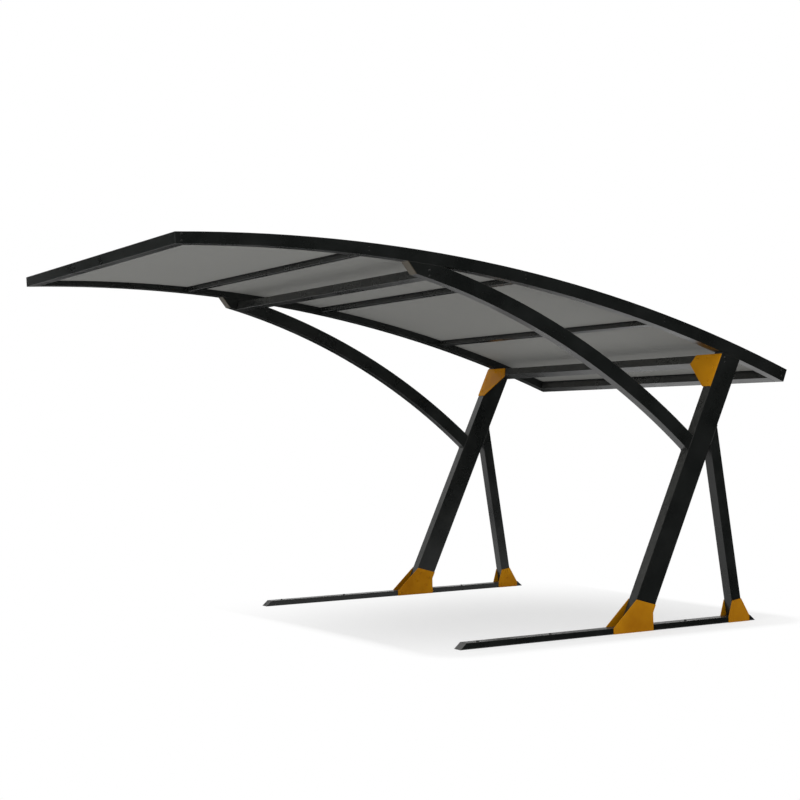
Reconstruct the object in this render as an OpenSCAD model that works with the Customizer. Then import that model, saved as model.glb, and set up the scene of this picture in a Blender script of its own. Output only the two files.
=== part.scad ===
// Cantilever carport: two leaning side frames carry a gently arched sheet roof.
// Millimetres, +Z up, +Y to the rear. The origin is on the floor, midway between
// the side frames and midway along the roof.

/* [Parking bay] */
// Clear width between the two side frames
bay_w = 2840; // [2400:10:3300]
// Width across the members of a side frame
member_w = 80; // [60:5:110]

/* [Roof] */
// Length of the roof from front to rear
roof_l = 4550; // [4300:10:5460]
// Height of the roof's top edge at the front
front_h = 2530; // [2300:10:2900]
// Height of the roof's top edge at the rear
rear_h = 1730; // [1600:10:1980]
// Radius of the roof's arched top
roof_r = 10800; // [9000:100:13000]
// Depth of a side beam at its front end
beam_front_d = 70; // [60:5:90]
// Depth of a side beam at its rear end
beam_rear_d = 100; // [80:5:120]
// Width of the front and rear fascia, front to rear
fascia_w = 80; // [60:5:110]
// Distance along the roof from its front edge to the middle of the front purlin
front_bay_l = 1248; // [1100:2:1320]
// Distance along the roof between the middles of two purlins
bay_l = 1140; // [1040:2:1180]
// Width of a purlin, front to rear
purlin_w = 40; // [30:2:60]
// Depth of a purlin from top to underside
purlin_d = 56; // [44:1:58]
// Depth of a purlin's top below the roof's top edge
purlin_top = 12; // [8:1:16]
// Thickness of a roof sheet
sheet_t = 8; // [4:1:12]
// Depth of a roof sheet's top below the roof's top edge
sheet_top = 26; // [22:1:30]

/* [Side frame] */
// Depth of the column, front to rear
column_d = 160; // [130:5:190]
// Lean of the column towards the rear, in degrees
column_lean = 25.5; // [21:0.5:27]
// Distance of the column's axis from the roof's middle, at floor level
column_y = 900; // [800:10:980]
// Depth of the back strut, front to rear
strut_d = 80; // [65:5:95]
// Lean of the back strut towards the front, in degrees
strut_lean = 8.2; // [7:0.1:9.8]
// Distance of the strut's axis from the column's axis, at floor level
strut_gap = 887; // [760:10:1060]
// Height of the floor sill
sill_h = 40; // [30:5:50]
// Distance from the sill's front tip to the column's axis
sill_front = 1350; // [1120:10:1620]
// Distance from the strut's axis to the sill's rear tip
sill_rear = 143; // [130:1:170]
// Length of the slope cut on each end of the sill
sill_slope = 46; // [20:2:54]
// Depth of the arched brace
arch_d = 100; // [80:5:120]
// Radius of the arched brace's lower edge
arch_r = 5080; // [4500:20:6100]
// Height at which the arched brace's lower edge meets the column
arch_foot_h = 1190; // [1000:10:1400]
// Distance from the roof's middle forward to the arched brace's nose
arch_nose = 700; // [590:10:840]
// Drop of the arched brace's nose below the side beam
nose_drop = 74; // [62:1:88]
// Steepness of the cut across the nose, in degrees
nose_slope = 53; // [45:1:63]
// Thickness of the cap on the nose
cap_t = 5; // [3:1:8]

/* [Cross beams] */
// Distance from the roof's middle forward to the front cross beam
front_beam_y = 650; // [540:10:670]
// Size of the front cross beam's square section
front_beam_d = 60; // [50:5:80]
// Depth of the rear cross beam along the columns
rear_beam_d = 60; // [50:5:75]
// Width of the rear cross beam across the columns
rear_beam_w = 80; // [60:5:100]
// Clearance of the rear cross beam and knee plates below the side beams
rear_beam_drop = 14; // [10:1:20]

/* [Joint plates] */
// Thickness of every joint plate
plate_t = 6; // [4:1:10]
// Height of a column foot plate, along the column's front edge
foot_front_h = 200; // [175:5:215]
// Height of a column foot plate, along the column's rear edge
foot_rear_h = 226; // [190:2:255]
// Reach of a column foot plate ahead of the column
foot_front = 90; // [70:5:110]
// Reach of a column foot plate behind the column
foot_rear = 57; // [40:1:70]
// Height of a strut foot plate, along the strut
strut_foot_h = 155; // [130:5:185]
// Reach of a strut foot plate ahead of the strut
strut_foot_front = 54; // [40:2:66]
// Reach of a strut foot plate behind the strut
strut_foot_rear = 46; // [36:2:50]
// Height of a knee plate, along the column
knee_h = 245; // [205:5:285]
// Reach of a knee plate inwards from the frame's outer face
knee_reach = 300; // [250:10:360]
// Width of a knee plate's flat lower edge
knee_foot_w = 86; // [66:2:100]
// Height of a knee plate's steep inner edge
knee_side_h = 70; // [50:5:85]
// Slant of a knee plate's steep inner edge
knee_side_w = 36; // [20:2:44]

/* [Hidden] */
$fn = 1440;                  // the arcs are metres in radius
inner_x = bay_w / 2;
outer_x = inner_x + member_w;
far = 12000;                 // longer than anything the profiles are cut with
purlin_count = 3;
strut_y = column_y + strut_gap;

// The roof's top arc, and the arc along the side beams' underside
front_top = [-roof_l / 2, front_h];
rear_top = [roof_l / 2, rear_h];
roof_c = arc_centre(front_top, rear_top, roof_r);
under_c = arc_centre(front_top - [0, beam_front_d], rear_top - [0, beam_rear_d], roof_r);

// Places along the roof are lengths of its top arc, measured from the front
front_turn = turn_to(front_top - roof_c);
roof_arc = (front_turn - turn_to(rear_top - roof_c)) * roof_r * PI / 180;

// The arched brace's lower edge, from its nose to the column's front face
nose_low = [-arch_nose, arc_height(-arch_nose, under_c, roof_r) - nose_drop];
nose_top = nose_low + line_to_arc(nose_low, direction(180 - nose_slope), under_c, roof_r)
                      * direction(180 - nose_slope);
arch_foot = [column_y + arch_foot_h * tan(column_lean) - column_d / 2 / cos(column_lean),
             arch_foot_h];
arch_c = arc_centre(nose_low, arch_foot, arch_r);

// Distance along the column to where its front face meets the side beam
column_top = line_to_arc(column_point(-column_d / 2, 0),
                         [sin(column_lean), cos(column_lean)], under_c, roof_r);
knee_top = column_top - rear_beam_drop;

// Direction with the given turn from +Y, and the turn of a given direction
function direction(turn) = [cos(turn), sin(turn)];
function turn_to(d) = atan2(d[1], d[0]);

// Turn about the roof's centre, and top, sunk and underside points, at a place
function roof_turn(place) = front_turn - place / roof_r * 180 / PI;
function roof_point(place, depth) = roof_c + (roof_r - depth) * direction(roof_turn(place));
function under_point(place) =
    let (d = direction(roof_turn(place)))
    roof_c + line_to_arc(roof_c, d, under_c, roof_r) * d;

// Centre, below the chord, of the arc of radius r from p rearwards to q
function arc_centre(p, q, r) =
    let (chord = q - p, half = norm(chord) / 2, rise = sqrt(r * r - half * half))
    (p + q) / 2 + rise * [chord[1], -chord[0]] / norm(chord);

// Height of the arc about c at distance y from the middle
function arc_height(y, c, r) = c[1] + sqrt(r * r - (y - c[0]) * (y - c[0]));

// Distance along direction d from p to the circle of radius r about c
function line_to_arc(p, d, c, r) =
    let (back = (p - c) * d, apart = (p - c) * (p - c) - r * r)
    -back + sqrt(back * back - apart);

// Side-view place of a point given across and along the column or the strut
function column_point(across, along) =
    [column_y, 0] + across * [cos(column_lean), -sin(column_lean)]
                  + along * [sin(column_lean), cos(column_lean)];
function strut_point(across, along) =
    [strut_y, 0] + across * [cos(strut_lean), sin(strut_lean)]
                 + along * [-sin(strut_lean), cos(strut_lean)];

// Places of a purlin's middle, and of a sheet's two ends, counted from the front
function purlin_place(row) = front_bay_l + row * bay_l;
function sheet_start(bay) = bay == 0 ? fascia_w : purlin_place(bay - 1) + purlin_w / 2;
function sheet_end(bay) =
    bay == purlin_count ? roof_arc - fascia_w : purlin_place(bay) - purlin_w / 2;

// ---- colours -------------------------------------------------------------

module black_coat() color("#1b1d1c") children();
module gold_coat() color("#a8700c") children();
module bronze_coat() color("#6f5f4d") children();
module smoked_sheet() color("#70706d") children();

// ---- placing -------------------------------------------------------------

// Side-view profile (y, z) given thickness w from x towards +X
module side_extrude(x, w)
    translate([x, 0, 0])
        rotate([90, 0, 90])
            linear_extrude(w)
                children();

module across_frame() side_extrude(inner_x, member_w) children();

module across_bay() side_extrude(-inner_x, bay_w) children();

module left_side() mirror([1, 0, 0]) children();

// ---- side-view regions ---------------------------------------------------

// The disc about c through p, drawn with a corner at p so that p is exact
module disc(c, p)
    translate(c)
        rotate(turn_to(p - c))
            circle(norm(p - c));

// The wedge of the roof between two places
module roof_wedge(from, to) {
    turns = [roof_turn(from), roof_turn((from + to) / 2), roof_turn(to)];
    polygon([roof_c, for (turn = turns) roof_c + far * direction(turn)]);
}

module above_sill() translate([-far, sill_h]) square([2 * far, far]);

// Everything ahead of a plane set across the column's axis by the given distance
module ahead_of_column(across)
    translate([column_y, 0])
        rotate(-column_lean)
            translate([across - far, -far])
                square([far, 2 * far]);

// ---- side frame ----------------------------------------------------------

module sill_profile() {
    front = column_y - sill_front;
    rear = strut_y + sill_rear;
    polygon([[front, 0], [rear, 0], [rear - sill_slope, sill_h], [front + sill_slope, sill_h]]);
}

module column_profile()
    intersection() {
        translate([column_y, 0])
            rotate(-column_lean)
                translate([-column_d / 2, -column_d])
                    square([column_d, column_top + 2 * column_d]);
        above_sill();
        disc(under_c, column_point(-column_d / 2, column_top));
    }

module strut_profile()
    difference() {
        intersection() {
            translate([strut_y, 0])
                rotate(strut_lean)
                    translate([-strut_d / 2, -strut_d])
                        square([strut_d, rear_h + strut_d]);
            above_sill();
        }
        ahead_of_column(column_d / 2);
    }

// The arched brace's ring, trimmed by the side beam's underside
module arch_ring()
    intersection() {
        difference() {
            disc(arch_c, nose_low + arch_d * direction(turn_to(nose_low - arch_c)));
            disc(arch_c, nose_low);
        }
        disc(under_c, nose_top);
    }

// Everything behind a plane set ahead of the nose cut by the given distance
module behind_nose(ahead)
    translate(nose_low)
        rotate(90 - nose_slope)
            translate([-ahead, -far])
                square([far, 2 * far]);

module arch_profile()
    intersection() {
        arch_ring();
        behind_nose(0);
        ahead_of_column(-column_d / 2);
        above_sill();
    }

module cap_profile()
    difference() {
        intersection() {
            arch_ring();
            behind_nose(cap_t);
            above_sill();
        }
        behind_nose(0);
    }

module sill() black_coat() across_frame() sill_profile();

module column() black_coat() across_frame() column_profile();

module strut() black_coat() across_frame() strut_profile();

module arched_brace() black_coat() across_frame() arch_profile();

module brace_cap() bronze_coat() across_frame() cap_profile();

// ---- joint plates --------------------------------------------------------

module column_foot_profile() {
    edge = column_d / 2 / cos(column_lean);
    front = column_y - edge - foot_front;
    rear = column_y + edge + foot_rear;
    polygon([
        [front, 0], [front, sill_h],
        column_point(-column_d / 2, foot_front_h), column_point(column_d / 2, foot_rear_h),
        [rear, foot_rear / tan(column_lean)], [rear, 0],
    ]);
}

module strut_foot_profile() {
    edge = strut_d / 2 / cos(strut_lean);
    front = strut_y - edge - strut_foot_front;
    rear = strut_y + edge + strut_foot_rear;
    polygon([
        [front, 0], [front, sill_h],
        strut_point(-strut_d / 2, strut_foot_h), strut_point(strut_d / 2, strut_foot_h),
        [rear, sill_h], [rear, 0],
    ]);
}

module outer_plate() gold_coat() side_extrude(outer_x, plate_t) children();

module inner_plate() gold_coat() side_extrude(inner_x - plate_t, plate_t) children();

// A plate lying on the column's front face and reaching over the rear cross beam
module knee_plate() {
    tip = outer_x - knee_reach;
    gold_coat()
        translate([0, column_y, 0])
            rotate([-column_lean, 0, 0])
                translate([0, -column_d / 2, knee_top])
                    rotate([90, 0, 0])
                        linear_extrude(plate_t)
                            polygon([
                                [outer_x, 0], [tip + knee_side_w, 0], [tip, -knee_side_h],
                                [outer_x - knee_foot_w, -knee_h], [outer_x, -knee_h],
                            ]);
}

// ---- roof ----------------------------------------------------------------

module beam_profile()
    intersection() {
        difference() {
            disc(roof_c, roof_c + [0, roof_r]);
            disc(under_c, under_point(roof_arc));
        }
        roof_wedge(0, roof_arc);
    }

module fascia_profile(from, to)
    polygon([under_point(from), roof_point(from, 0), roof_point(to, 0), under_point(to)]);

// A sheet follows the roof's arc, and its highest point is the crown or its front edge
module sheet_profile(from, to) {
    crown_turn = min(roof_turn(from), max(roof_turn(to), 90));
    intersection() {
        difference() {
            disc(roof_c, roof_c + (roof_r - sheet_top) * direction(crown_turn));
            disc(roof_c, roof_point(to, sheet_top + sheet_t));
        }
        roof_wedge(from, to);
    }
}

module purlin_profile(middle)
    translate(roof_point(middle, purlin_top))
        rotate(roof_turn(middle) - 90)
            translate([-purlin_w / 2, -purlin_d])
                square([purlin_w, purlin_d]);

module side_beam() black_coat() across_frame() beam_profile();

module front_fascia() black_coat() across_bay() fascia_profile(0, fascia_w);

module rear_fascia()
    black_coat() across_bay() fascia_profile(roof_arc - fascia_w, roof_arc);

module roof_sheet(bay)
    smoked_sheet()
        across_bay()
            sheet_profile(sheet_start(bay), sheet_end(bay));

module purlin(row) black_coat() across_bay() purlin_profile(purlin_place(row));

// Set square to the arched braces, its lower front corner on their lower edge
module front_cross_beam() {
    corner = [-front_beam_y, arc_height(-front_beam_y, arch_c, arch_r)];
    turn = asin((-front_beam_y - arch_c[0]) / arch_r);
    black_coat()
        across_bay()
            translate(corner)
                rotate(-turn)
                    square(front_beam_d);
}

// Set square to the columns, flush with their front faces
module rear_cross_beam()
    black_coat()
        across_bay()
            translate([column_y, 0])
                rotate(-column_lean)
                    translate([-column_d / 2, knee_top - rear_beam_d])
                        square([rear_beam_w, rear_beam_d]);

// ---- nodes ---------------------------------------------------------------

left_side() sill();  // left_sill
sill();  // right_sill
left_side() column();  // left_column
column();  // right_column
left_side() strut();  // left_strut
strut();  // right_strut
left_side() arched_brace();  // left_arched_brace
arched_brace();  // right_arched_brace
left_side() brace_cap();  // left_brace_cap
brace_cap();  // right_brace_cap
left_side() side_beam();  // left_side_beam
side_beam();  // right_side_beam
front_fascia();
rear_fascia();
purlin(0);  // front_purlin
purlin(1);  // middle_purlin
purlin(2);  // rear_purlin
front_cross_beam();
rear_cross_beam();
roof_sheet(0);  // front_roof_sheet
roof_sheet(1);  // front_middle_roof_sheet
roof_sheet(2);  // rear_middle_roof_sheet
roof_sheet(3);  // rear_roof_sheet
left_side() outer_plate() column_foot_profile();  // left_column_foot_outer_plate
left_side() inner_plate() column_foot_profile();  // left_column_foot_inner_plate
outer_plate() column_foot_profile();  // right_column_foot_outer_plate
inner_plate() column_foot_profile();  // right_column_foot_inner_plate
left_side() outer_plate() strut_foot_profile();  // left_strut_foot_outer_plate
left_side() inner_plate() strut_foot_profile();  // left_strut_foot_inner_plate
outer_plate() strut_foot_profile();  // right_strut_foot_outer_plate
inner_plate() strut_foot_profile();  // right_strut_foot_inner_plate
left_side() knee_plate();  // left_knee_plate
knee_plate();  // right_knee_plate
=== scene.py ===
# %% [markdown]
# # A cantilever carport
#
# The real thing is a roof for one car. Two black side frames lean to the rear, each
# with an arched brace that carries the roof forward. The roof is one gentle arch of
# smoked sheets between black beams. Gold plates stiffen the feet and the knees.
#
# The solid model comes first and sets every size. This lesson keeps those solids
# where they are, and adds what makes them look made: softened edges, coatings with
# a grain, rubber seals, glazing beads, screws and welds.

from math import asin, atan2, ceil, cos, pi, radians, sin, sqrt

import bmesh
import bpy
from mathutils import Matrix, Vector


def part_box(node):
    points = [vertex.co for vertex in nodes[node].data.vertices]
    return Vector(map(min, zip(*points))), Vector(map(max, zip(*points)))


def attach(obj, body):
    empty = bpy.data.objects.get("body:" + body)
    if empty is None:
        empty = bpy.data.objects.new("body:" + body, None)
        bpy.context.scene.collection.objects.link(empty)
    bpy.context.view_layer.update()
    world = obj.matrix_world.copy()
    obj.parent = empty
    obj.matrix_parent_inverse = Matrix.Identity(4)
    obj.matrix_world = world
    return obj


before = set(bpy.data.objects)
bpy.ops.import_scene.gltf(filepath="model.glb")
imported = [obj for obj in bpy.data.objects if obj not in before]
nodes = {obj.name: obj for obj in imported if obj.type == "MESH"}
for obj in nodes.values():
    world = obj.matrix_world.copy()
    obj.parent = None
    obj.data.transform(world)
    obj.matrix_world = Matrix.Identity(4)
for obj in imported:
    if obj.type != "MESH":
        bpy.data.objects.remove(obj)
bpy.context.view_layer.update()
MM = 0.001

# %% [markdown]
# ## The camera
#
# The carport is seen from the front right, from eye height and well below the roof.
# A long lens far away keeps the beams nearly parallel. A camera could be aimed at a
# target, but that leaves out its small roll to one side. So this one is turned about the
# upright axis, tipped up from looking straight down, and rolled about its own line of
# sight, in the order in which a tripod head is set.

# %% Camera
CAMERA_PLACE = (10.009, -5.557, 1.4475)
CAMERA_TURN = radians(61)
CAMERA_TILT = radians(0.64)
CAMERA_ROLL = radians(-1.2)
LENS_MM = 71.96
SENSOR_MM = 36
FARTHEST_SEEN = 200

camera = bpy.data.objects.new("camera", bpy.data.cameras.new("camera"))
camera.data.sensor_width = SENSOR_MM
camera.data.lens = LENS_MM
camera.data.clip_end = FARTHEST_SEEN
camera.matrix_world = (
    Matrix.Translation(CAMERA_PLACE)
    @ Matrix.Rotation(CAMERA_TURN, 4, "Z")
    @ Matrix.Rotation(radians(90) + CAMERA_TILT, 4, "X")
    @ Matrix.Rotation(CAMERA_ROLL, 4, "Z")
)
bpy.context.scene.collection.objects.link(camera)
bpy.context.scene.camera = camera
print("camera", LENS_MM, "mm lens at", CAMERA_PLACE)

# %% [markdown]
# ## Colours and shader nodes
#
# A written colour, such as "#1B1D1C", is in sRGB. Shaders work in linear light,
# so one function turns the written value into the linear one. One more function adds
# any node with its settings and links, which keeps each material short.

# %% Helpers for colours and nodes


def linear(hex_colour):
    """The linear colour, with alpha, of an sRGB colour written as "#RRGGBB"."""
    channels = [int(hex_colour[start:start + 2], 16) / 255 for start in (1, 3, 5)]
    # The sRGB curve is a straight line near black, and a power above that
    values = [c / 12.92 if c <= 0.04045 else ((c + 0.055) / 1.055) ** 2.4 for c in channels]
    return (*values, 1.0)


def add_node(tree, kind, inputs, **settings):
    """Adds a node. An input is given a plain value, or another node's output to link."""
    node = tree.nodes.new(kind)
    for name, value in settings.items():
        setattr(node, name, value)
    for name, value in inputs.items():
        if isinstance(value, bpy.types.NodeSocket):
            tree.links.new(value, node.inputs[name])
        else:
            node.inputs[name].default_value = value
    return node


def new_material(name):
    """A material with an empty node tree, and that tree."""
    material = bpy.data.materials.new(name)
    material.use_nodes = True
    material.node_tree.nodes.clear()
    return material, material.node_tree


print("the colour #1B1D1C is", [round(c, 4) for c in linear("#1B1D1C")], "in linear light")

# %% [markdown]
# ## Powder coat
#
# The frames are aluminium and the plates steel, both coated with a polyester powder
# that melts and sets in an oven. It hides the metal, so the shader isn't metallic. To
# the eye a powder coat is an even colour with a soft sheen and a fine orange-peel ripple.
# Faces that look up get a paler colour: partly a thin layer of dust, partly painted
# light that makes the tops lighter than the sides.
#
# The peel of a real coat is 1 to 2 mm wide. It is drawn 5 mm wide, because anything
# finer is lost at the distance from which a carport is seen. Noise makes it, since the
# ripple has no direction, and a slower noise drifts the colour by a shade. Dust gathers
# in patches a few centimetres wide, so a third noise lays both the dust and the painted
# top light in such patches.

# %% Powder coat
PEEL_MM = 5
PEEL_DEPTH = 0.2 * MM
PEEL_STRENGTH = 0.6
DRIFT_MM = 240
NOISE_LOW, NOISE_HIGH = 0.35, 0.65
SHEEN_SPREAD = 0.05
DUST_AND_TOP_LIGHT_MM = 35
# The pale colour of dust, also used as painted light that makes faces which look up lighter than
# the sides
DUST_AND_TOP_LIGHT_COLOUR = "#8C8A85"
STEEPEST_DUST_AND_TOP_LIGHT = 0.05

# The colour sockets of a Mix node, which has a set of sockets for each type of value
MIX_FACTOR, MIX_A, MIX_B, MIX_RESULT = 0, 6, 7, 2


def per_metre(size_mm):
    """The texture scale at which one cell of a pattern is the given size."""
    return 1 / (size_mm * MM)


def powder_coat(name, dark, light, roughness, specular, dust_and_top_light):
    """A baked powder coat whose colour drifts between two shades."""
    material, tree = new_material(name)
    place = add_node(tree, "ShaderNodeTexCoord", {}).outputs["Object"]
    noise = add_node(tree, "ShaderNodeTexNoise",
                     {"Vector": place, "Scale": per_metre(DRIFT_MM), "Detail": 3})
    # Noise keeps near its middle, so its usual range is stretched to run from 0 to 1
    drift = add_node(tree, "ShaderNodeMapRange",
                     {"Value": noise.outputs["Fac"], "From Min": NOISE_LOW,
                      "From Max": NOISE_HIGH})
    colour = add_node(tree, "ShaderNodeMix",
                      {MIX_FACTOR: drift.outputs["Result"], MIX_A: linear(dark),
                       MIX_B: linear(light)},
                      data_type="RGBA")
    # The more a face looks up, the paler it is painted, in patches: partly dust, partly painted
    # light on the tops
    normal = add_node(tree, "ShaderNodeNewGeometry", {}).outputs["Normal"]
    up = add_node(tree, "ShaderNodeSeparateXYZ", {"Vector": normal}).outputs["Z"]
    patches = add_node(tree, "ShaderNodeTexNoise",
                       {"Vector": place, "Scale": per_metre(DUST_AND_TOP_LIGHT_MM), "Detail": 5})
    lying = add_node(tree, "ShaderNodeMapRange",
                     {"Value": up, "From Min": STEEPEST_DUST_AND_TOP_LIGHT, "From Max": 1.0, "To Max": dust_and_top_light})
    dust_and_top_light_cover = add_node(tree, "ShaderNodeMath",
                     {0: lying.outputs["Result"], 1: patches.outputs["Fac"]},
                     operation="MULTIPLY")
    dusted_and_top_lit = add_node(tree, "ShaderNodeMix",
                      {MIX_FACTOR: dust_and_top_light_cover.outputs["Value"], MIX_A: colour.outputs[MIX_RESULT],
                       MIX_B: linear(DUST_AND_TOP_LIGHT_COLOUR)},
                      data_type="RGBA")
    sheen = add_node(tree, "ShaderNodeMapRange",
                     {"Value": drift.outputs["Result"], "To Min": roughness - SHEEN_SPREAD,
                      "To Max": roughness + SHEEN_SPREAD})
    peel = add_node(tree, "ShaderNodeTexNoise",
                    {"Vector": place, "Scale": per_metre(PEEL_MM), "Detail": 2})
    ripple = add_node(tree, "ShaderNodeBump",
                      {"Height": peel.outputs["Fac"], "Distance": PEEL_DEPTH,
                       "Strength": PEEL_STRENGTH})
    coat = add_node(tree, "ShaderNodeBsdfPrincipled",
                    {"Base Color": dusted_and_top_lit.outputs[MIX_RESULT],
                     "Roughness": sheen.outputs["Result"],
                     "Normal": ripple.outputs["Normal"],
                     "Specular IOR Level": specular})
    add_node(tree, "ShaderNodeOutputMaterial", {"Surface": coat.outputs["BSDF"]})
    return material


# The black coat gets the most pale colour on its tops, partly dust and partly painted light
black_coat = powder_coat("black_powder_coated_aluminium_finish", "#131514", "#1B1D1C",
                         roughness=0.3, specular=0.35, dust_and_top_light=0.3)
gold_coat = powder_coat("gold_powder_coated_steel_finish", "#9B6302", "#B07707",
                        roughness=0.45, specular=0.06, dust_and_top_light=0.04)
bronze_coat = powder_coat("bronze_powder_coated_cap_finish", "#3D382D", "#443E34",
                          roughness=0.5, specular=0.2, dust_and_top_light=0.2)
print("powder coats:", black_coat.name, gold_coat.name, bronze_coat.name)

# %% [markdown]
# ## Smoked polycarbonate
#
# The roof is solid polycarbonate tinted grey through its thickness. It could be a clear
# shader with a grey tint. The real underside is embossed to a satin finish, though, so
# it shows as one flat grey with nothing seen through it, and an opaque shader gives that
# with less noise. The sheet is pushed out of a long slot, and that leaves very faint
# streaks along its length. Noise that is stretched along the roof makes them.
#
# The grain of the embossing is about 1 mm wide. It is drawn 6 mm wide, because anything
# finer is lost from a few metres away.

# %% Polycarbonate
STREAK_MM = 45
STREAK_STRETCH = 0.04
SATIN_LEAST, SATIN_MOST = 0.6, 0.7
EMBOSS_MM = 6
EMBOSS_DEPTH = 0.1 * MM
EMBOSS_STRENGTH = 0.5


def smoked_polycarbonate():
    """Tinted polycarbonate with a satin face and faint streaks from its die."""
    material, tree = new_material("smoked_polycarbonate_finish")
    place = add_node(tree, "ShaderNodeTexCoord", {}).outputs["Object"]
    along = add_node(tree, "ShaderNodeMapping",
                     {"Vector": place, "Scale": (1, STREAK_STRETCH, STREAK_STRETCH)})
    streak = add_node(tree, "ShaderNodeTexNoise",
                      {"Vector": along.outputs["Vector"], "Scale": per_metre(STREAK_MM),
                       "Detail": 4})
    colour = add_node(tree, "ShaderNodeMix",
                      {MIX_FACTOR: streak.outputs["Fac"], MIX_A: linear("#787875"),
                       MIX_B: linear("#7E7E7B")},
                      data_type="RGBA")
    satin = add_node(tree, "ShaderNodeMapRange",
                     {"Value": streak.outputs["Fac"], "To Min": SATIN_LEAST,
                      "To Max": SATIN_MOST})
    grain = add_node(tree, "ShaderNodeTexNoise",
                     {"Vector": place, "Scale": per_metre(EMBOSS_MM), "Detail": 1})
    emboss = add_node(tree, "ShaderNodeBump",
                      {"Height": grain.outputs["Fac"], "Distance": EMBOSS_DEPTH,
                       "Strength": EMBOSS_STRENGTH})
    sheet = add_node(tree, "ShaderNodeBsdfPrincipled",
                     {"Base Color": colour.outputs[MIX_RESULT],
                      "Roughness": satin.outputs["Result"],
                      "Normal": emboss.outputs["Normal"],
                      "Specular IOR Level": 0.04, "IOR": 1.58})
    add_node(tree, "ShaderNodeOutputMaterial", {"Surface": sheet.outputs["BSDF"]})
    return material


polycarbonate = smoked_polycarbonate()
print("roof sheets:", polycarbonate.name)

# %% [markdown]
# ## Finishes on the solids
#
# Each solid already has a slot that says what it is made of. The new finish goes into
# that slot. The solids' edges are sharp, as no sawn and coated aluminium is. Roundings
# could be cut into the meshes, but the solids have to stay as they are, so a chain of
# modifiers makes them: weld the loose triangles, merge those that lie flat, bevel the
# true corners, then weight the normals so that the flat faces stay flat.

# %% Softened edges
FINISHES = {
    "black_powder_coated_aluminium": black_coat,
    "gold_powder_coated_steel": gold_coat,
    "bronze_powder_coated_cap": bronze_coat,
    "smoked_polycarbonate_sheet": polycarbonate,
}
MEMBER_EDGE = 2.5 * MM
PLATE_EDGE = 1 * MM
SAME_POINT = 0.01 * MM
FLATTEST_CREASE = radians(0.1)
CORNER_ANGLE = radians(25)


def smooth_group():
    """A node group that shades a whole mesh smooth."""
    tree = bpy.data.node_groups.new("shade smooth", "GeometryNodeTree")
    for way in ("INPUT", "OUTPUT"):
        tree.interface.new_socket("Geometry", in_out=way, socket_type="NodeSocketGeometry")
    source = add_node(tree, "NodeGroupInput", {})
    smooth = add_node(tree, "GeometryNodeSetShadeSmooth", {"Geometry": source.outputs[0]})
    add_node(tree, "NodeGroupOutput", {"Geometry": smooth.outputs["Geometry"]})
    return tree


shade_smooth = smooth_group()


def add_modifier(piece, kind, **settings):
    """Adds a modifier with its settings."""
    modifier = piece.modifiers.new(kind.lower(), kind)
    for name, value in settings.items():
        setattr(modifier, name, value)


def soften(piece, radius):
    """Rounds the corners of a solid, and leaves its mesh as it is."""
    add_modifier(piece, "WELD", merge_threshold=SAME_POINT)
    add_modifier(piece, "DECIMATE", decimate_type="DISSOLVE", angle_limit=FLATTEST_CREASE)
    add_modifier(piece, "BEVEL", width=radius, segments=3, limit_method="ANGLE",
                 angle_limit=CORNER_ANGLE)
    add_modifier(piece, "NODES", node_group=shade_smooth)
    add_modifier(piece, "WEIGHTED_NORMAL", weight=100)


for solid in nodes.values():
    slot = solid.material_slots[0]
    finish = FINISHES[slot.material.name]
    slot.material = finish
    soften(solid, MEMBER_EDGE if finish is black_coat else PLATE_EDGE)
print(len(nodes), "solids finished")

# %% [markdown]
# ## The roof's arch
#
# Everything that lies on the sheets has to follow their arch. The arch is part of one
# large circle, seen from the side, so two ends and a radius fix it. A place on the roof
# is then given as how far across it lies, how far back, and how deep below the top.

# %% The roof's arch, seen from the side
ROOF_RADIUS = 10.8
# The two ends of the roof's top, each as (y, z)
ROOF_FRONT = Vector((-2.275, 2.530))
ROOF_REAR = Vector((2.275, 1.730))
SHEET_TOP = 26 * MM
SHEET_THICK = 8 * MM
SHEET_MIDDLE = SHEET_TOP + SHEET_THICK / 2


def arc_centre(start, end, radius):
    """Centre, below the chord, of an arc between two points (y, z)."""
    chord = end - start
    rise = sqrt(radius ** 2 - (chord.length / 2) ** 2)
    return (start + end) / 2 + rise * Vector((chord.y, -chord.x)).normalized()


centre_y, centre_z = arc_centre(ROOF_FRONT, ROOF_REAR, ROOF_RADIUS)


def roof_place(x, y, depth):
    """A point at a depth square below the roof's top. y is measured in the sheets."""
    lean = asin((y - centre_y) / (ROOF_RADIUS - SHEET_MIDDLE))
    reach = ROOF_RADIUS - depth
    return Vector((x, centre_y + reach * sin(lean), centre_z + reach * cos(lean)))


print("the roof's arch turns about y", round(centre_y, 3), "z", round(centre_z, 3))

# %% [markdown]
# ## Rubber
#
# A roof sheet isn't glued to its frame. It lies on a seal all round its underside. The
# seal is EPDM rubber, extruded and cured. It is a deep, slightly grey black and has
# almost no gloss, with a fine tooth from its die. The tooth is far finer than 1 mm, and
# is drawn 3 mm wide so that it shows at all. One noise drives both its colour and its
# relief, and the hollows are painted darker, as painted shade.

# %% Rubber
TOOTH_MM = 3
TOOTH_DEPTH = 0.1 * MM
TOOTH_STRENGTH = 0.5


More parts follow.
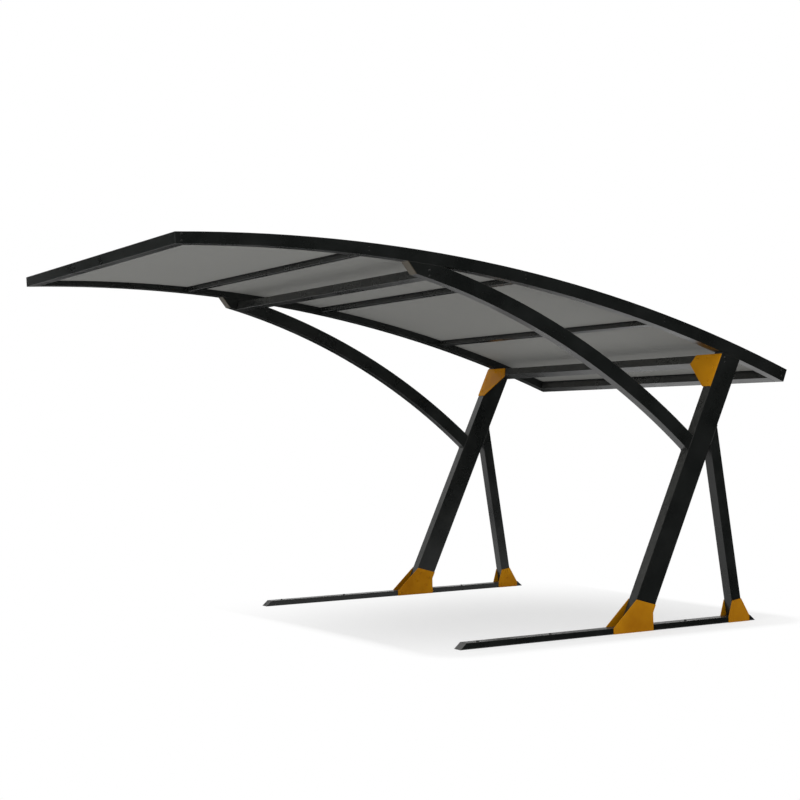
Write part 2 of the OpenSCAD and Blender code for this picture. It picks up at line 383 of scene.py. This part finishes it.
def epdm_rubber():
    """Matt black extruded rubber."""
    material, tree = new_material("epdm_rubber_finish")
    place = add_node(tree, "ShaderNodeTexCoord", {}).outputs["Object"]
    tooth = add_node(tree, "ShaderNodeTexNoise",
                     {"Vector": place, "Scale": per_metre(TOOTH_MM), "Detail": 3})
    # Darker in the hollows of the tooth: painted shade
    colour = add_node(tree, "ShaderNodeMix",
                      {MIX_FACTOR: tooth.outputs["Fac"], MIX_A: linear("#101010"),
                       MIX_B: linear("#1C1C1C")},
                      data_type="RGBA")
    surface = add_node(tree, "ShaderNodeBump",
                       {"Height": tooth.outputs["Fac"], "Distance": TOOTH_DEPTH,
                        "Strength": TOOTH_STRENGTH})
    rubber = add_node(tree, "ShaderNodeBsdfPrincipled",
                      {"Base Color": colour.outputs[MIX_RESULT], "Roughness": 0.75,
                       "Normal": surface.outputs["Normal"], "Specular IOR Level": 0.15})
    add_node(tree, "ShaderNodeOutputMaterial", {"Surface": rubber.outputs["BSDF"]})
    return material


rubber = epdm_rubber()
print("seals:", rubber.name)

# %% [markdown]
# ## Seals and glazing beads
#
# The seal lies under the sheet, and a narrow aluminium bead holds the sheet down from
# above. Both are strips that run round the edge of the sheet and follow the arch of the
# roof. A curve with a bevel could make such a strip, but it twists on the arch and rounds
# off at the corners. So a strip is built as a chain of oblong cross-sections round the
# sheet. Each section joins an outer outline to one set further in, which mitres the
# corners.

# %% Strips round the sheets
RUN_STEP = 60 * MM
SEAL_WIDTH = 10 * MM
SEAL_THICK = 5 * MM
BEAD_WIDTH = 16 * MM
BEAD_THICK = 12 * MM
STRIP_EDGE = 1 * MM
SIDE_FIT = 0.5 * MM
# The ends of a sheet lean with the arch, so its box is longer than the sheet's middle
END_FIT = SIDE_FIT + 2 * MM


def mesh_object(name, bm, finish):
    """An object made from a finished bmesh, which is then freed."""
    mesh = bpy.data.meshes.new(name)
    bm.to_mesh(mesh)
    bm.free()
    mesh.materials.append(finish)
    piece = bpy.data.objects.new(name, mesh)
    bpy.context.scene.collection.objects.link(piece)
    return piece


def rim_stations(length):
    """Places round a unit square, with its second side divided along the given length."""
    steps = ceil(length / RUN_STEP)
    shares = [step / steps for step in range(steps)]
    return ([(0, share) for share in shares] + [(0, 1)]
            + [(1, 1 - share) for share in shares] + [(1, 0)])


def join_sections(bm, sections):
    """Joins a closed chain of sections, each a ring with the same number of points."""
    points = len(sections[0])
    for section, following in zip(sections, sections[1:] + sections[:1]):
        for point in range(points):
            after = (point + 1) % points
            bm.faces.new((section[point], section[after], following[after], following[point]))
    bmesh.ops.recalc_face_normals(bm, faces=bm.faces)


def rim_strip(name, sheet, width, top, thick, finish):
    """A strip round the edge of a sheet, from depth top to depth top + thick."""
    low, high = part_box(sheet)
    x0, x1 = low.x + SIDE_FIT, high.x - SIDE_FIT
    y0, y1 = low.y + END_FIT, high.y - END_FIT
    bm = bmesh.new()
    sections = []
    for across, along in rim_stations(y1 - y0):
        edges = []
        for inset in (0, width):
            x = x0 + inset + across * (x1 - x0 - 2 * inset)
            y = y0 + inset + along * (y1 - y0 - 2 * inset)
            edges.append([bm.verts.new(roof_place(x, y, depth)) for depth in (top, top + thick)])
        outer, inner = edges
        sections.append([outer[0], outer[1], inner[1], inner[0]])
    join_sections(bm, sections)
    piece = mesh_object(name, bm, finish)
    soften(piece, STRIP_EDGE)
    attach(piece, "root")


for sheet in ("front_roof_sheet", "front_middle_roof_sheet", "rear_middle_roof_sheet",
              "rear_roof_sheet"):
    rim_strip(sheet + "_seal", sheet, SEAL_WIDTH, SHEET_TOP + SHEET_THICK, SEAL_THICK, rubber)
    rim_strip(sheet + "_bead", sheet, BEAD_WIDTH, SHEET_TOP - BEAD_THICK, BEAD_THICK, black_coat)
    print("a seal and a bead round", sheet)

# %% [markdown]
# ## Screws
#
# The crosswise members are screwed through the outer faces of the side frames, and
# the plates are screwed to the members behind them. All are button-head screws with
# a hexagon socket, which sit low and have no edge to catch a sleeve. They are coated with
# the part that they hold.
#
# A flattened ball would do for the dome, but not for the socket. So a head is a stack of
# rings. Most rings are round. The socket's rings have the same number of points on the
# outline of a hexagon, so that one loop joins them all.

# %% Button-head screws
RING_POINTS = 24
DOME_STEPS = 4
# For each thread in mm: the head's width, its height, and the socket's width across flats
HEAD_SIZES = {6: (10.5, 3.3, 4), 8: (14, 4.4, 5), 10: (17.5, 5.5, 6)}
SEAT_DEPTH = 1 * MM
# The upright rim and the socket's floor are shares of the head's height, and the dome
# shrinks by a share of the head's width
STRAIGHT_RIM = 0.15
SOCKET_FLOOR = 0.4
DOME_SHRINK = 0.45


def ring_of(radius, height):
    """A round ring of points at a height."""
    turns = [2 * pi * point / RING_POINTS for point in range(RING_POINTS)]
    return [Vector((radius * cos(turn), radius * sin(turn), height)) for turn in turns]


def hexagon_of(flats, height):
    """The same number of points on a hexagon with the given width across its flats."""
    points = []
    for point in range(RING_POINTS):
        turn = 2 * pi * point / RING_POINTS
        reach = flats / 2 / cos((turn % (pi / 3)) - pi / 6)
        points.append(Vector((reach * cos(turn), reach * sin(turn), height)))
    return points


def button_head(thread):
    """The rings of a button head for a metric thread, from its seat to its socket's floor."""
    wide, tall, socket = (value * MM for value in HEAD_SIZES[thread])
    rings = [ring_of(wide / 2, -SEAT_DEPTH), ring_of(wide / 2, STRAIGHT_RIM * tall)]
    for step in range(1, DOME_STEPS + 1):
        share = step / DOME_STEPS
        rings.append(ring_of(wide / 2 * (1 - DOME_SHRINK * share ** 2),
                             tall * (STRAIGHT_RIM + (1 - STRAIGHT_RIM) * share)))
    return rings + [hexagon_of(socket, tall), hexagon_of(socket, SOCKET_FLOOR * tall)]


def add_stack(bm, rings, place, normal):
    """Joins rings into a closed solid that stands on a place and points along a normal."""
    stand = Matrix.Translation(place) @ Vector(normal).to_track_quat("Z", "Y").to_matrix().to_4x4()
    loops = [[bm.verts.new(stand @ point) for point in ring] for ring in rings]
    for lower, upper in zip(loops, loops[1:]):
        for point in range(RING_POINTS):
            after = (point + 1) % RING_POINTS
            bm.faces.new((lower[point], lower[after], upper[after], upper[point]))
    bm.faces.new(reversed(loops[0]))
    bm.faces.new(loops[-1])


def screws(name, thread, seats, finish):
    """One piece with a screw at each seat, a seat being a place and a normal."""
    bm = bmesh.new()
    for place, normal in seats:
        add_stack(bm, button_head(thread), place, normal)
    bmesh.ops.recalc_face_normals(bm, faces=bm.faces)
    piece = mesh_object(name, bm, finish)
    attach(piece, "root")


for thread, (wide, tall, socket) in HEAD_SIZES.items():
    print(f"thread {thread}: a head {wide} mm wide and {tall} mm high, a {socket} mm socket")

# %% [markdown]
# ## Screws through the side frames
#
# The fascias, purlins and cross beams run from one side frame to the other. Two screws
# through each frame hold each end. Their places come from the solids' own boxes: at the
# middle of a member, half the stated distance above and below it.

# %% Screws through the side frames
OUTER_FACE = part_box("right_column")[1].x
SIDES = (("right", 1), ("left", -1))
# For each member: the screws' thread, and how far apart the two screws are
MEMBER_SCREWS = {
    "front_fascia": (8, 40 * MM),
    "front_purlin": (6, 24 * MM),
    "middle_purlin": (6, 24 * MM),
    "rear_purlin": (6, 24 * MM),
    "rear_fascia": (8, 40 * MM),
    "front_cross_beam": (10, 34 * MM),
    "rear_cross_beam": (10, 34 * MM),
}

for member, (thread, apart) in MEMBER_SCREWS.items():
    low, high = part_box(member)
    middle = (low + high) / 2
    for side, sign in SIDES:
        seats = [((sign * OUTER_FACE, middle.y, middle.z + shift * apart / 2), (sign, 0, 0))
                 for shift in (-1, 1)]
        screws(f"{side}_{member}_screws", thread, seats, black_coat)
print(len(MEMBER_SCREWS), "crosswise members screwed on both sides")

# %% [markdown]
# ## Places on the column and the strut
#
# The plates at the feet and knees are screwed to the column and the strut, which lean.
# A place on either is given as how far across it lies from the middle line, and how far
# along that line from the ground. One function turns those into a point.

# %% Lines of the column and the strut
INNER_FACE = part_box("right_column")[0].x
# A foot is the y at which a middle line meets the ground. A lean is to the rear.
COLUMN_FOOT = 0.9
COLUMN_LEAN = radians(25.5)
COLUMN_DEPTH = 160 * MM
STRUT_FOOT = 1.787
STRUT_LEAN = radians(-8.2)


def on_member(foot, lean, x, across, along):
    """A point given across and along a leaning member that starts at foot."""
    return Vector((x, foot + across * cos(lean) + along * sin(lean),
                   along * cos(lean) - across * sin(lean)))


def on_column(x, across, along):
    """A point given across and along the column."""
    return on_member(COLUMN_FOOT, COLUMN_LEAN, x, across, along)


def on_strut(x, across, along):
    """A point given across and along the back strut."""
    return on_member(STRUT_FOOT, STRUT_LEAN, x, across, along)


COLUMN_START = on_column(0, 0, 0)
COLUMN_FRONT = on_column(0, -1, 0) - COLUMN_START
COLUMN_UP = on_column(0, 0, 1) - COLUMN_START
print("the column's front face looks along", COLUMN_FRONT)

# %% [markdown]
# ## Screws in the plates and anchors in the sills
#
# A foot plate is screwed to its member and to the sill, and a knee plate to the column
# and the rear cross beam. Anchors through the sills hold the carport to the ground. Only
# the inner foot plates get screws: heads on the outer ones would make the carport wider.

# %% Screws in the plates and the sills
MEMBER_MIDDLE = (INNER_FACE + OUTER_FACE) / 2
PLATE_THICK = 6 * MM
SILL_TOP = 40 * MM
SILL_ANCHORS = (-0.3, 0.25, 1.35)
COLUMN_FOOT_ROWS = (100 * MM, 165 * MM)
COLUMN_FOOT_COLUMNS = (-45 * MM, 45 * MM)
COLUMN_FOOT_INSET = 28 * MM
STRUT_FOOT_ROWS = (75 * MM, 125 * MM)
STRUT_FOOT_INSET = 20 * MM
# For each screw: how far it is from the carport's middle, and from the plate's top
KNEE_PLACES = ((MEMBER_MIDDLE, 100 * MM), (MEMBER_MIDDLE, 205 * MM),
               (1.36, 30 * MM), (1.27, 30 * MM))


def sill_seats(plate, face, inwards, inset):
    """Seats near the two lower corners of a foot plate, half way up the sill."""
    low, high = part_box(plate)
    return [((face, y, SILL_TOP / 2), inwards) for y in (low.y + inset, high.y - inset)]


def column_foot_seats(side, face, inwards):
    """Four seats on the column and two on the sill."""
    upper = [(on_column(face, across, along), inwards)
             for along in COLUMN_FOOT_ROWS for across in COLUMN_FOOT_COLUMNS]
    plate = f"{side}_column_foot_inner_plate"
    return upper + sill_seats(plate, face, inwards, COLUMN_FOOT_INSET)


def strut_foot_seats(side, face, inwards):
    """Two seats on the strut and two on the sill."""
    upper = [(on_strut(face, 0, along), inwards) for along in STRUT_FOOT_ROWS]
    plate = f"{side}_strut_foot_inner_plate"
    return upper + sill_seats(plate, face, inwards, STRUT_FOOT_INSET)


def knee_seats(side, sign):
    """Two seats on the column and two on the rear cross beam."""
    corners = [vertex.co - COLUMN_START for vertex in nodes[f"{side}_knee_plate"].data.vertices]
    top = max(corner.dot(COLUMN_UP) for corner in corners)
    face = -COLUMN_DEPTH / 2 - PLATE_THICK
    return [(on_column(sign * x, face, top - below), COLUMN_FRONT) for x, below in KNEE_PLACES]


for side, sign in SIDES:
    face = sign * (INNER_FACE - PLATE_THICK)
    inwards = (-sign, 0, 0)
    screws(f"{side}_column_foot_screws", 10, column_foot_seats(side, face, inwards), gold_coat)
    screws(f"{side}_strut_foot_screws", 10, strut_foot_seats(side, face, inwards), gold_coat)
    screws(f"{side}_knee_screws", 8, knee_seats(side, sign), gold_coat)
    anchors = [((sign * MEMBER_MIDDLE, y, SILL_TOP), (0, 0, 1)) for y in SILL_ANCHORS]
    screws(f"{side}_sill_anchors", 10, anchors, black_coat)
    print(side, "plates and sill screwed")

# %% [markdown]
# ## Welds
#
# The brace and the strut are welded to the column before the frame is coated, so the
# bead is black as well. A weld is a chain of small overlapping puddles. A plain tube
# would look like a wire laid in the corner. So the bead is a thin tube round the joint
# that swells and shrinks once for each puddle. The joint's corners are read from the
# solid: they are its points in the column's face.

# %% Weld beads
PUDDLE = 4 * MM
WELD_RADIUS = 3.5 * MM
SWELL = 0.15
RINGS_PER_PUDDLE = 4
TUBE_POINTS = 8
TOUCH = 0.2 * MM


def joint_corners(node, across):
    """The corners of a member where it meets the column's face at the given distance."""
    on_face = [vertex.co.copy() for vertex in nodes[node].data.vertices
               if abs((vertex.co - on_column(0, across, 0)).dot(COLUMN_FRONT)) < TOUCH]
    low = min(on_face, key=lambda point: point.z)
    high = max(on_face, key=lambda point: point.z)
    x0, x1 = min(point.x for point in on_face), max(point.x for point in on_face)
    return [Vector((x, end.y, end.z)) for x, end in ((x0, low), (x1, low), (x1, high), (x0, high))]


def weld_path(corners):
    """Evenly spaced points along a closed chain of corners."""
    path = []
    for start, end in zip(corners, corners[1:] + corners[:1]):
        steps = ceil((end - start).length / PUDDLE * RINGS_PER_PUDDLE)
        path += [start.lerp(end, step / steps) for step in range(steps)]
    return path


def weld(name, corners):
    """A rippled bead along a closed chain of corners."""
    centre = sum(corners, Vector()) / len(corners)
    face = (corners[1] - corners[0]).cross(corners[2] - corners[1]).normalized()
    turns = [2 * pi * step / TUBE_POINTS for step in range(TUBE_POINTS)]
    bm = bmesh.new()
    sections = []
    for count, point in enumerate(weld_path(corners)):
        outward = (point - centre).normalized()
        radius = WELD_RADIUS * (1 + SWELL * cos(2 * pi * count / RINGS_PER_PUDDLE))
        sections.append([bm.verts.new(point + radius * (cos(turn) * outward + sin(turn) * face))
                         for turn in turns])
    join_sections(bm, sections)
    piece = mesh_object(name, bm, black_coat)
    add_modifier(piece, "NODES", node_group=shade_smooth)
    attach(piece, "root")


for side, sign in SIDES:
    weld(f"{side}_arched_brace_weld", joint_corners(f"{side}_arched_brace", -COLUMN_DEPTH / 2))
    weld(f"{side}_strut_weld", joint_corners(f"{side}_strut", COLUMN_DEPTH / 2))
    print(side, "brace and strut welded")

# %% [markdown]
# ## Floor and background
#
# The carport stands on a plain pale floor. A curved backdrop would hide the horizon from
# one side only. So outside the side frames the floor itself fades to the white of the
# background, and no horizon shows from anywhere, and the shadow there is painted out.
# Between the sills the same white covers at least half of the shadow, and more towards
# the far sill, so the shadow is painted lighter than the lamps make it. That white is
# only for rays from the camera and for reflections, so it adds no light to the carport.

# %% Floor and background
FLOOR_HALF = 40
FADE_MIDDLE = (0.9, 0.6, 0)
FADE_START = 0.6
FADE_END = 3.2
# At least this share of the floor's shadow is painted out with white
LEAST_PAINTED_LIGHT = 0.5
EDGE_FADE = 0.4
SKY_LEVEL = 0.85


def seen_directly(tree):
    """1 for rays from the camera and for rays that glossy and clear things send."""
    rays = add_node(tree, "ShaderNodeLightPath", {})
    most = rays.outputs["Is Camera Ray"]
    for kind in ("Is Glossy Ray", "Is Transmission Ray"):
        most = add_node(tree, "ShaderNodeMath", {0: most, 1: rays.outputs[kind]},
                        operation="MAXIMUM").outputs["Value"]
    return most


def past_the_bay(tree, place):
    """How far a place lies outside the rectangle that the two sills enclose."""
    low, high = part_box("right_sill")
    middle = (0, (low.y + high.y) / 2, 0)
    half = (high.x, (high.y - low.y) / 2, 0)
    # Fold the floor about the middle, take off half the sides, and leave nothing below 0
    for operation, other in (("SUBTRACT", middle), ("ABSOLUTE", (0, 0, 0)),
                             ("SUBTRACT", half), ("MAXIMUM", (0, 0, 0))):
        place = add_node(tree, "ShaderNodeVectorMath", {0: place, 1: other},
                         operation=operation).outputs["Vector"]
    return add_node(tree, "ShaderNodeVectorMath", {0: place}, operation="LENGTH").outputs["Value"]


def pale_floor():
    """A pale matt floor that turns into the white background further out."""
    material, tree = new_material("pale_floor_finish")
    place = add_node(tree, "ShaderNodeTexCoord", {}).outputs["Object"]
    away = add_node(tree, "ShaderNodeVectorMath", {0: place, 1: FADE_MIDDLE},
                    operation="DISTANCE")
    fade = add_node(tree, "ShaderNodeMapRange",
                    {"Value": away.outputs["Value"], "From Min": FADE_START,
                     "From Max": FADE_END, "To Min": LEAST_PAINTED_LIGHT},
                    interpolation_type="SMOOTHSTEP")
    edge = add_node(tree, "ShaderNodeMapRange",
                    {"Value": past_the_bay(tree, place), "From Max": EDGE_FADE},
                    interpolation_type="SMOOTHSTEP")
    # White painted over the floor's shadow: at least half of it between the sills, all of it past
    # them
    painted_light_share = add_node(tree, "ShaderNodeMath",
                      {0: fade.outputs["Result"], 1: edge.outputs["Result"]},
                      operation="MAXIMUM")
    share = add_node(tree, "ShaderNodeMath",
                     {0: painted_light_share.outputs["Value"], 1: seen_directly(tree)},
                     operation="MULTIPLY")
    matt = add_node(tree, "ShaderNodeBsdfDiffuse", {"Color": linear("#F2F2F2")})
    white = add_node(tree, "ShaderNodeEmission", {"Strength": 1.0})
    mixed = add_node(tree, "ShaderNodeMixShader",
                     {0: share.outputs["Value"], 1: matt.outputs["BSDF"],
                      2: white.outputs["Emission"]})
    add_node(tree, "ShaderNodeOutputMaterial", {"Surface": mixed.outputs["Shader"]})
    return material


def white_studio():
    """An even white sky, a little dimmer as a light than as a background."""
    world = bpy.data.worlds.new("white studio")
    world.use_nodes = True
    tree = world.node_tree
    tree.nodes.clear()
    level = add_node(tree, "ShaderNodeMapRange",
                     {"Value": seen_directly(tree), "To Min": SKY_LEVEL, "To Max": 1.0})
    sky = add_node(tree, "ShaderNodeBackground",
                   {"Color": linear("#FFFFFF"), "Strength": level.outputs["Result"]})
    add_node(tree, "ShaderNodeOutputWorld", {"Surface": sky.outputs["Background"]})
    return world


bm = bmesh.new()
bmesh.ops.create_grid(bm, x_segments=1, y_segments=1, size=FLOOR_HALF)
floor = mesh_object("floor", bm, pale_floor())
bpy.context.scene.world = white_studio()
print("a floor", 2 * FLOOR_HALF, "m wide under a white sky")

# %% [markdown]
# ## Lamps
#
# Sunlight would draw hard shadows across the roof. Large square lamps in front and above
# give soft ones. A weak lamp on the floor lifts the rear of the roof's underside, which
# little other light reaches. Together with the sky they light the carport to a level at
# which colours render about as they are written.

# %% Lamps
ROOF_MIDDLE = (0, 0, 1.6)
ROOF_REAR_PART = (0, 1.9, 1.9)


def soft_lamp(name, place, target, size, power):
    """A square lamp that looks at its target and isn't mirrored in the carport."""
    lamp = bpy.data.objects.new(name, bpy.data.lights.new(name, "AREA"))
    lamp.data.size = size
    lamp.data.energy = power
    lamp.location = place
    lamp.rotation_mode = "QUATERNION"
    lamp.rotation_quaternion = (Vector(target) - Vector(place)).to_track_quat("-Z", "Y")
    lamp.visible_glossy = False
    bpy.context.scene.collection.objects.link(lamp)
    print(name, size, "m wide,", power, "W")


soft_lamp("front lamp", (3, -9, 3), ROOF_MIDDLE, size=5, power=350)
soft_lamp("top lamp", (0, -2, 9), ROOF_MIDDLE, size=8, power=250)
soft_lamp("floor lamp", (0, 1.5, 0.15), ROOF_REAR_PART, size=1.5, power=5)
bpy.context.scene.view_settings.view_transform = "Standard"

# %% [markdown]
# ## Black boards
#
# A black coat between white walls mirrors them and turns grey. Less gloss would hide
# that, but the sheen of the coat would go too. A studio puts black boards in front of
# some of its walls instead. Three boards stand here and two cloths lie on the floor, and
# only reflections see them. The upright faces and the undersides then mirror black. The
# faces that look up still mirror the white above, and show a pale sheen.

# %% Black boards for reflections
CLOTH_HEIGHT = 2 * MM


def black_velvet():
    """A black that mirrors nothing."""
    material, tree = new_material("black_board_finish")
    pile = add_node(tree, "ShaderNodeBsdfDiffuse", {"Color": linear("#050505")})
    add_node(tree, "ShaderNodeOutputMaterial", {"Surface": pile.outputs["BSDF"]})
    return material


velvet = black_velvet()


def black_board(name, stand, width, height):
    """A flat board put in its place by a matrix. It shows only in reflections."""
    bm = bmesh.new()
    bmesh.ops.create_grid(bm, x_segments=1, y_segments=1, size=0.5,
                          matrix=stand @ Matrix.Diagonal((width, height, 1, 1)))
    board = mesh_object(name, bm, velvet)
    board.visible_camera = False
    board.visible_diffuse = False
    board.visible_shadow = False
    board.visible_transmission = False
    print(name, width, "m by", height, "m")


def upright(x, y, z):
    """Stands a board at a place, square to the line from there to the carport."""
    return (Matrix.Translation((x, y, z)) @ Matrix.Rotation(atan2(y, x) - pi / 2, 4, "Z")
            @ Matrix.Rotation(pi / 2, 4, "X"))


def lying(x, y):
    """Lays a board on the floor."""
    return Matrix.Translation((x, y, CLOTH_HEIGHT))


black_board("right_board", upright(6, 3.3, 3.6), width=16, height=7.2)
black_board("front_left_board", upright(-3.2, -4.4, 2.5), width=5.3, height=5)
black_board("rear_left_board", upright(-4.5, 3.5, 2.05), width=13, height=1.9)
black_board("right_cloth", lying(4.515, 2), width=6, height=12)
black_board("rear_left_cloth", lying(-9.5, 6), width=12, height=12)
